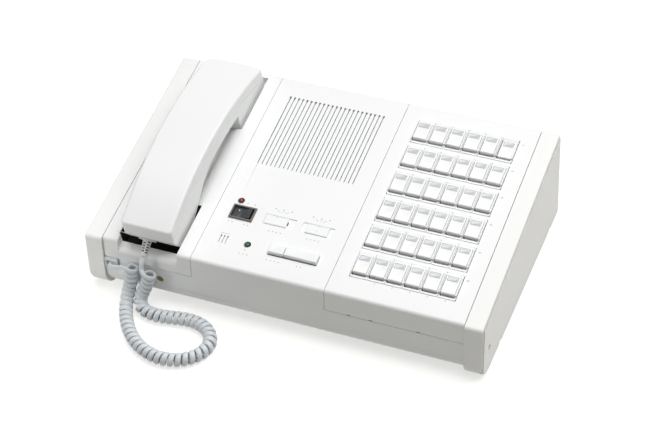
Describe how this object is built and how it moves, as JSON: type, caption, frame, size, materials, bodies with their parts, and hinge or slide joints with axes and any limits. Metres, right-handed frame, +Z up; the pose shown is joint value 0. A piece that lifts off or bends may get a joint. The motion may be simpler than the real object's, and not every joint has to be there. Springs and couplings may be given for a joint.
{
  "type": "desk intercom master station",
  "caption": "Sloping desk intercom with a handset on a curly cord, a loudspeaker grille, slide switches and a field of latching station keys.",
  "frame": {"origin": "middle of the footprint on the desk, the cord left out", "axes": "+X to the right along the front, +Y to the back, +Z up"},
  "size_m": [0.374, 0.3006, 0.1195],
  "materials": {
    "black_plastic": "black moulded plastic",
    "body_abs": "fine satin moulded ABS",
    "cap_abs": "fine satin moulded ABS",
    "capsule_metal": "spun can",
    "circuit_board": "glass epoxy laminate",
    "clear_acrylic": "clear moulded acrylic",
    "clear_plug": "clear polycarbonate",
    "control_abs": "moulded ABS",
    "cord_vinyl": "pale grey vinyl",
    "handset_abs": "smooth moulded ABS",
    "key_abs": "moulded ABS with a smoky window",
    "lamp_epoxy": "tinted epoxy",
    "screw_steel": "zinc plated",
    "speaker_steel": "black pressed steel and paper cone",
    "steel_sheet": "grey painted sheet steel"
  },
  "bodies": {
    "housing": {"main_housing": "body_abs", "base_plate": "steel_sheet", "left_end_cap": "cap_abs", "right_end_cap": "cap_abs", "cradle_panel": "body_abs", "key_panel": "body_abs", "key_frames": "clear_acrylic", "power_switch_body": "black_plastic", "indicator_lamps": "lamp_epoxy", "speaker": "speaker_steel", "circuit_boards": "circuit_board", "screws": "screw_steel", "handset_cord": "cord_vinyl", "cord_plug": "clear_plug"},
    "handset": {"handset_upper_shell": "handset_abs", "handset_lower_shell": "handset_abs", "handset_capsules": "capsule_metal", "handset_strain_relief": "cord_vinyl"},
    "hook": {"hook_plunger": "body_abs"},
    "power": {"power_rocker": "black_plastic"},
    "selector_left": {"selector_slider_left": "control_abs"},
    "selector_right": {"selector_slider_right": "control_abs"},
    "call": {"call_key": "control_abs"},
    "talk": {"talk_key": "control_abs"},
    "station_r1_c1": {"key_r1_c1": "key_abs"},
    "station_r1_c2": {"key_r1_c2": "key_abs"},
    "station_r1_c3": {"key_r1_c3": "key_abs"},
    "station_r1_c4": {"key_r1_c4": "key_abs"},
    "station_r1_c5": {"key_r1_c5": "key_abs"},
    "station_r1_c6": {"key_r1_c6": "key_abs"},
    "station_r2_c1": {"key_r2_c1": "key_abs"},
    "station_r2_c2": {"key_r2_c2": "key_abs"},
    "station_r2_c3": {"key_r2_c3": "key_abs"},
    "station_r2_c4": {"key_r2_c4": "key_abs"},
    "station_r2_c5": {"key_r2_c5": "key_abs"},
    "station_r2_c6": {"key_r2_c6": "key_abs"},
    "station_r3_c1": {"key_r3_c1": "key_abs"},
    "station_r3_c2": {"key_r3_c2": "key_abs"},
    "station_r3_c3": {"key_r3_c3": "key_abs"},
    "station_r3_c4": {"key_r3_c4": "key_abs"},
    "station_r3_c5": {"key_r3_c5": "key_abs"},
    "station_r3_c6": {"key_r3_c6": "key_abs"},
    "station_r4_c1": {"key_r4_c1": "key_abs"},
    "station_r4_c2": {"key_r4_c2": "key_abs"},
    "station_r4_c3": {"key_r4_c3": "key_abs"},
    "station_r4_c4": {"key_r4_c4": "key_abs"},
    "station_r4_c5": {"key_r4_c5": "key_abs"},
    "station_r4_c6": {"key_r4_c6": "key_abs"},
    "station_r5_c1": {"key_r5_c1": "key_abs"},
    "station_r5_c2": {"key_r5_c2": "key_abs"},
    "station_r5_c3": {"key_r5_c3": "key_abs"},
    "station_r5_c4": {"key_r5_c4": "key_abs"},
    "station_r5_c5": {"key_r5_c5": "key_abs"},
    "station_r5_c6": {"key_r5_c6": "key_abs"},
    "station_r6_c1": {"key_r6_c1": "key_abs"},
    "station_r6_c2": {"key_r6_c2": "key_abs"},
    "station_r6_c3": {"key_r6_c3": "key_abs"},
    "station_r6_c4": {"key_r6_c4": "key_abs"},
    "station_r6_c5": {"key_r6_c5": "key_abs"},
    "station_r6_c6": {"key_r6_c6": "key_abs"}
  },
  "joints": [
    {"name": "handset_lift", "type": "slide", "parent": "housing", "child": "handset", "axis": [0, -0.1513, 0.9885], "range_m": [0, 0.06]},
    {"name": "hook_rise", "type": "slide", "parent": "housing", "child": "hook", "axis": [0, -0.1513, 0.9885], "range_m": [0, 0.004]},
    {"name": "power_switch", "type": "hinge", "parent": "housing", "child": "power", "pos_m": [-0.0574, -0.04944, 0.06861], "axis": [0, 0.9885, 0.1513], "range_deg": [0, 18]},
    {"name": "left_selector", "type": "slide", "parent": "housing", "child": "selector_left", "axis": [1, 0, 0], "range_m": [0, 0.0064]},
    {"name": "right_selector", "type": "slide", "parent": "housing", "child": "selector_right", "axis": [1, 0, 0], "range_m": [-0.0032, 0.0032]},
    {"name": "call_press", "type": "slide", "parent": "housing", "child": "call", "axis": [0, -0.1513, 0.9885], "range_m": [-0.002, 0], "stiffness_N_per_m": 300, "springref_m": 0.001},
    {"name": "talk_press", "type": "slide", "parent": "housing", "child": "talk", "axis": [0, -0.1513, 0.9885], "range_m": [-0.002, 0], "stiffness_N_per_m": 300, "springref_m": 0.001},
    {"name": "press_r1_c1", "type": "slide", "parent": "housing", "child": "station_r1_c1", "axis": [0, -0.1513, 0.9885], "range_m": [-0.003, 0], "stiffness_N_per_m": 250, "springref_m": 0.001},
    {"name": "press_r1_c2", "type": "slide", "parent": "housing", "child": "station_r1_c2", "axis": [0, -0.1513, 0.9885], "range_m": [-0.003, 0], "stiffness_N_per_m": 250, "springref_m": 0.001},
    {"name": "press_r1_c3", "type": "slide", "parent": "housing", "child": "station_r1_c3", "axis": [0, -0.1513, 0.9885], "range_m": [-0.003, 0], "stiffness_N_per_m": 250, "springref_m": 0.001},
    {"name": "press_r1_c4", "type": "slide", "parent": "housing", "child": "station_r1_c4", "axis": [0, -0.1513, 0.9885], "range_m": [-0.003, 0], "stiffness_N_per_m": 250, "springref_m": 0.001},
    {"name": "press_r1_c5", "type": "slide", "parent": "housing", "child": "station_r1_c5", "axis": [0, -0.1513, 0.9885], "range_m": [-0.003, 0], "stiffness_N_per_m": 250, "springref_m": 0.001},
    {"name": "press_r1_c6", "type": "slide", "parent": "housing", "child": "station_r1_c6", "axis": [0, -0.1513, 0.9885], "range_m": [-0.001, 0.002]},
    {"name": "press_r2_c1", "type": "slide", "parent": "housing", "child": "station_r2_c1", "axis": [0, -0.1513, 0.9885], "range_m": [-0.003, 0], "stiffness_N_per_m": 250, "springref_m": 0.001},
    {"name": "press_r2_c2", "type": "slide", "parent": "housing", "child": "station_r2_c2", "axis": [0, -0.1513, 0.9885], "range_m": [-0.003, 0], "stiffness_N_per_m": 250, "springref_m": 0.001},
    {"name": "press_r2_c3", "type": "slide", "parent": "housing", "child": "station_r2_c3", "axis": [0, -0.1513, 0.9885], "range_m": [-0.003, 0], "stiffness_N_per_m": 250, "springref_m": 0.001},
    {"name": "press_r2_c4", "type": "slide", "parent": "housing", "child": "station_r2_c4", "axis": [0, -0.1513, 0.9885], "range_m": [-0.003, 0], "stiffness_N_per_m": 250, "springref_m": 0.001},
    {"name": "press_r2_c5", "type": "slide", "parent": "housing", "child": "station_r2_c5", "axis": [0, -0.1513, 0.9885], "range_m": [-0.003, 0], "stiffness_N_per_m": 250, "springref_m": 0.001},
    {"name": "press_r2_c6", "type": "slide", "parent": "housing", "child": "station_r2_c6", "axis": [0, -0.1513, 0.9885], "range_m": [-0.003, 0], "stiffness_N_per_m": 250, "springref_m": 0.001},
    {"name": "press_r3_c1", "type": "slide", "parent": "housing", "child": "station_r3_c1", "axis": [0, -0.1513, 0.9885], "range_m": [-0.003, 0], "stiffness_N_per_m": 250, "springref_m": 0.001},
    {"name": "press_r3_c2", "type": "slide", "parent": "housing", "child": "station_r3_c2", "axis": [0, -0.1513, 0.9885], "range_m": [-0.003, 0], "stiffness_N_per_m": 250, "springref_m": 0.001},
    {"name": "press_r3_c3", "type": "slide", "parent": "housing", "child": "station_r3_c3", "axis": [0, -0.1513, 0.9885], "range_m": [-0.003, 0], "stiffness_N_per_m": 250, "springref_m": 0.001},
    {"name": "press_r3_c4", "type": "slide", "parent": "housing", "child": "station_r3_c4", "axis": [0, -0.1513, 0.9885], "range_m": [-0.003, 0], "stiffness_N_per_m": 250, "springref_m": 0.001},
    {"name": "press_r3_c5", "type": "slide", "parent": "housing", "child": "station_r3_c5", "axis": [0, -0.1513, 0.9885], "range_m": [-0.003, 0], "stiffness_N_per_m": 250, "springref_m": 0.001},
    {"name": "press_r3_c6", "type": "slide", "parent": "housing", "child": "station_r3_c6", "axis": [0, -0.1513, 0.9885], "range_m": [-0.003, 0], "stiffness_N_per_m": 250, "springref_m": 0.001},
    {"name": "press_r4_c1", "type": "slide", "parent": "housing", "child": "station_r4_c1", "axis": [0, -0.1513, 0.9885], "range_m": [-0.003, 0], "stiffness_N_per_m": 250, "springref_m": 0.001},
    {"name": "press_r4_c2", "type": "slide", "parent": "housing", "child": "station_r4_c2", "axis": [0, -0.1513, 0.9885], "range_m": [-0.003, 0], "stiffness_N_per_m": 250, "springref_m": 0.001},
    {"name": "press_r4_c3", "type": "slide", "parent": "housing", "child": "station_r4_c3", "axis": [0, -0.1513, 0.9885], "range_m": [-0.003, 0], "stiffness_N_per_m": 250, "springref_m": 0.001},
    {"name": "press_r4_c4", "type": "slide", "parent": "housing", "child": "station_r4_c4", "axis": [0, -0.1513, 0.9885], "range_m": [-0.003, 0], "stiffness_N_per_m": 250, "springref_m": 0.001},
    {"name": "press_r4_c5", "type": "slide", "parent": "housing", "child": "station_r4_c5", "axis": [0, -0.1513, 0.9885], "range_m": [-0.003, 0], "stiffness_N_per_m": 250, "springref_m": 0.001},
    {"name": "press_r4_c6", "type": "slide", "parent": "housing", "child": "station_r4_c6", "axis": [0, -0.1513, 0.9885], "range_m": [-0.003, 0], "stiffness_N_per_m": 250, "springref_m": 0.001},
    {"name": "press_r5_c1", "type": "slide", "parent": "housing", "child": "station_r5_c1", "axis": [0, -0.1513, 0.9885], "range_m": [-0.003, 0], "stiffness_N_per_m": 250, "springref_m": 0.001},
    {"name": "press_r5_c2", "type": "slide", "parent": "housing", "child": "station_r5_c2", "axis": [0, -0.1513, 0.9885], "range_m": [-0.003, 0], "stiffness_N_per_m": 250, "springref_m": 0.001},
    {"name": "press_r5_c3", "type": "slide", "parent": "housing", "child": "station_r5_c3", "axis": [0, -0.1513, 0.9885], "range_m": [-0.003, 0], "stiffness_N_per_m": 250, "springref_m": 0.001},
    {"name": "press_r5_c4", "type": "slide", "parent": "housing", "child": "station_r5_c4", "axis": [0, -0.1513, 0.9885], "range_m": [-0.003, 0], "stiffness_N_per_m": 250, "springref_m": 0.001},
    {"name": "press_r5_c5", "type": "slide", "parent": "housing", "child": "station_r5_c5", "axis": [0, -0.1513, 0.9885], "range_m": [-0.003, 0], "stiffness_N_per_m": 250, "springref_m": 0.001},
    {"name": "press_r5_c6", "type": "slide", "parent": "housing", "child": "station_r5_c6", "axis": [0, -0.1513, 0.9885], "range_m": [-0.003, 0], "stiffness_N_per_m": 250, "springref_m": 0.001},
    {"name": "press_r6_c1", "type": "slide", "parent": "housing", "child": "station_r6_c1", "axis": [0, -0.1513, 0.9885], "range_m": [-0.003, 0], "stiffness_N_per_m": 250, "springref_m": 0.001},
    {"name": "press_r6_c2", "type": "slide", "parent": "housing", "child": "station_r6_c2", "axis": [0, -0.1513, 0.9885], "range_m": [-0.003, 0], "stiffness_N_per_m": 250, "springref_m": 0.001},
    {"name": "press_r6_c3", "type": "slide", "parent": "housing", "child": "station_r6_c3", "axis": [0, -0.1513, 0.9885], "range_m": [-0.003, 0], "stiffness_N_per_m": 250, "springref_m": 0.001},
    {"name": "press_r6_c4", "type": "slide", "parent": "housing", "child": "station_r6_c4", "axis": [0, -0.1513, 0.9885], "range_m": [-0.003, 0], "stiffness_N_per_m": 250, "springref_m": 0.001},
    {"name": "press_r6_c5", "type": "slide", "parent": "housing", "child": "station_r6_c5", "axis": [0, -0.1513, 0.9885], "range_m": [-0.003, 0], "stiffness_N_per_m": 250, "springref_m": 0.001},
    {"name": "press_r6_c6", "type": "slide", "parent": "housing", "child": "station_r6_c6", "axis": [0, -0.1513, 0.9885], "range_m": [-0.003, 0], "stiffness_N_per_m": 250, "springref_m": 0.001}
  ],
  "couplings": [
    {"joint": "hook_rise", "follows": "handset_lift", "ratio": 0.066667}
  ]
}
